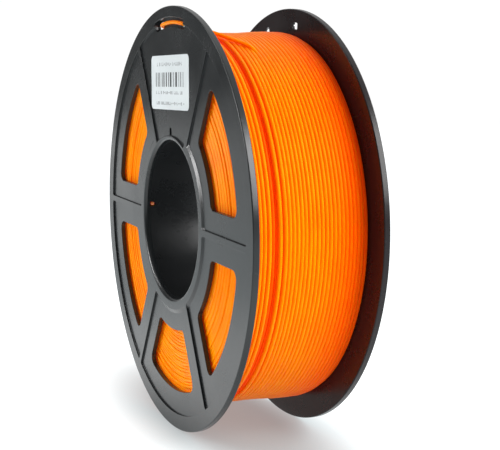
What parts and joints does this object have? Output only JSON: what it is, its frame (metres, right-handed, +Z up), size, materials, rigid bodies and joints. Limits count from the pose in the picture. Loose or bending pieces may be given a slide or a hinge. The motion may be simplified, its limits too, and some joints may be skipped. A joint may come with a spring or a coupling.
{
  "type": "filament spool",
  "caption": "Round flanged plastic reel with ribbed, windowed sides and a wide open bore, wound full of thin round orange filament whose end is parked in a rim slot.",
  "frame": {"origin": "middle of the bore's axis, halfway between the two outer faces", "axes": "+Z up, +Y along the spool's axis from the labelled front flange to the rear flange, +X to the right seen from the label side"},
  "size_m": [0.2, 0.0624, 0.2],
  "materials": {
    "front_flange": "satin black moulding with a fine grain",
    "rear_flange": "satin black moulding, smoother on its inner face",
    "hub_core": "satin black moulding",
    "filament_winding": "extruded orange filament, soft sheen",
    "filament_tail": "extruded orange filament, soft sheen",
    "filament_inner_end": "extruded orange filament, cut end",
    "label": null
  },
  "bodies": {
    "root": {"front_flange": "front_flange", "rear_flange": "rear_flange", "hub_core": "hub_core", "filament_winding": "filament_winding", "filament_tail": "filament_tail", "filament_inner_end": "filament_inner_end", "label": "label"}
  },
  "joints": []
}
